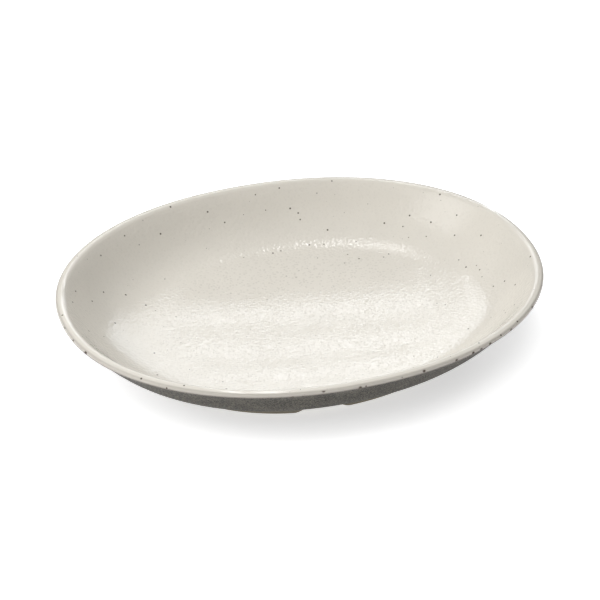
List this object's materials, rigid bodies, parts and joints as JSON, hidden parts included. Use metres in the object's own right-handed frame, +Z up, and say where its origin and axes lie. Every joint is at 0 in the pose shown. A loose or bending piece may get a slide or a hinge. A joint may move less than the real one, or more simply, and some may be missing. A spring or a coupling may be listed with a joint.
{
  "type": "oval serving bowl",
  "caption": "Shallow oval serving bowl with a speckled liner that wraps over the lip, a dark textured outer shell, and a foot ring with drain gaps.",
  "frame": {"origin": "middle of the foot ring, on the surface that the bowl stands on", "axes": "+X along the bowl's length, +Y across its width, +Z up out of its mouth"},
  "size_m": [0.305, 0.246, 0.0447],
  "materials": {
    "liner": "satin cream resin with sparse fine dark speckles, smooth on the lip and finely pebbled inside, with larger brown specks along the lip's outer edge",
    "shell": "dark grey-brown resin with a fine stipple, smooth and paler on the foot ring"
  },
  "bodies": {
    "root": {"inner_liner": "liner", "outer_shell": "shell"}
  },
  "joints": []
}
